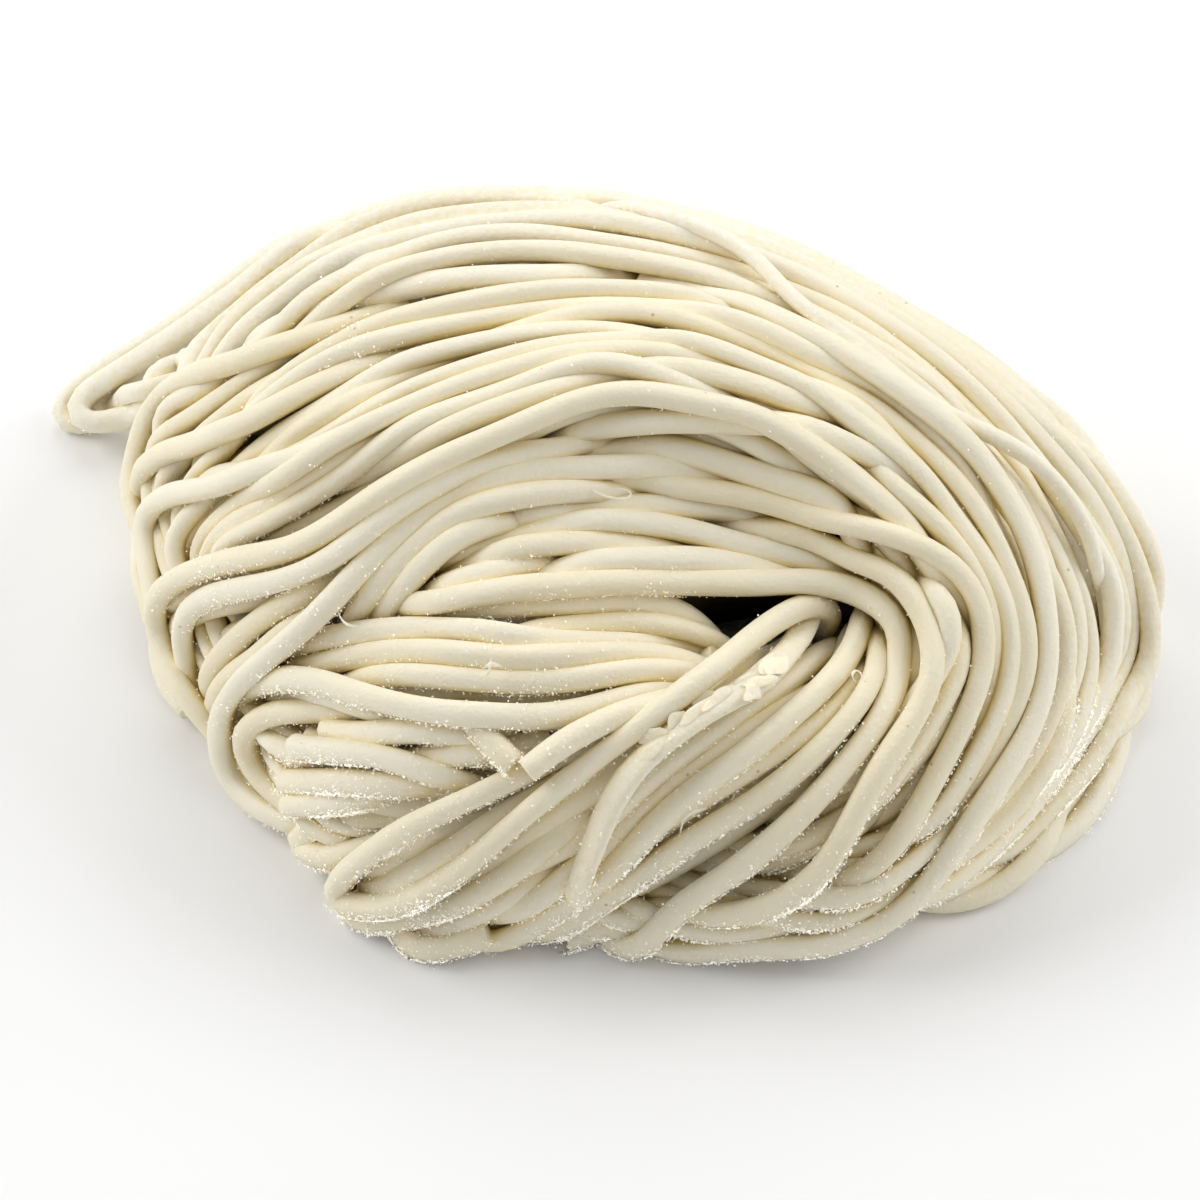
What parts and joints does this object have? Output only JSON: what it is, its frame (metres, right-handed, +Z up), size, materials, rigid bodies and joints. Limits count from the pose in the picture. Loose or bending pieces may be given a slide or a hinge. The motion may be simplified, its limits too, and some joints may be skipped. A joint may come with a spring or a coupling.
{
  "type": "ramen noodle nest",
  "caption": "One portion of fresh, flour-dusted wheat noodles wound into an oval nest, with folded ends and a narrow hole",
  "frame": {"origin": "on the surface the nest lies on, under the middle of its bounding box", "axes": "+X along the nest's longest side, to the right seen from the front, +Y to the back, +Z up"},
  "size_m": [0.1032, 0.0858, 0.0403],
  "materials": {
    "noodle_dough": "matte, pale cream wheat dough with brown specks",
    "flour_dust": "matte white flour and starch grains"
  },
  "bodies": {
    "root": {"noodle_nest": "noodle_dough"}
  },
  "joints": []
}
